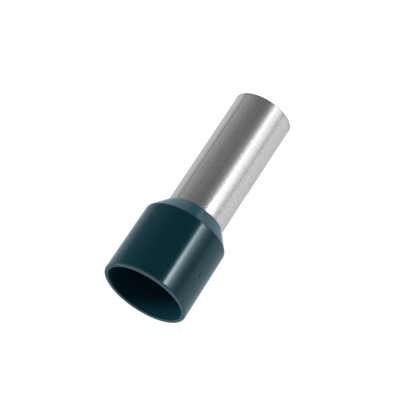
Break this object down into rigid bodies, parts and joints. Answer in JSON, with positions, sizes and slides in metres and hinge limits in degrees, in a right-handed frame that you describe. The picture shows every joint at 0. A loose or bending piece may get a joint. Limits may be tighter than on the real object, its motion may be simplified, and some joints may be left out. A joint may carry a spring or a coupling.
{
  "type": "wire ferrule",
  "caption": "Insulated wire ferrule: thin tinned copper sleeve with a flared entry, seated in a dark petrol plastic collar with a rounded mouth and a cone shoulder.",
  "frame": {"origin": "centre of the sleeve's free end, on the surface that the ferrule stands on", "axes": "+Z along the ferrule's axis, from the sleeve's free end to the wire-entry mouth; +X and +Y are across it, with the moulding gate's mark on the -X -Y side"},
  "size_m": [0.0158, 0.0158, 0.041],
  "materials": {
    "tinned_copper": "bright tin plating on a drawn copper tube, fine lines along its length",
    "petrol_plastic": "glossy moulded polypropylene, dark petrol blue"
  },
  "bodies": {
    "root": {"sleeve": "tinned_copper", "collar": "petrol_plastic"}
  },
  "joints": []
}
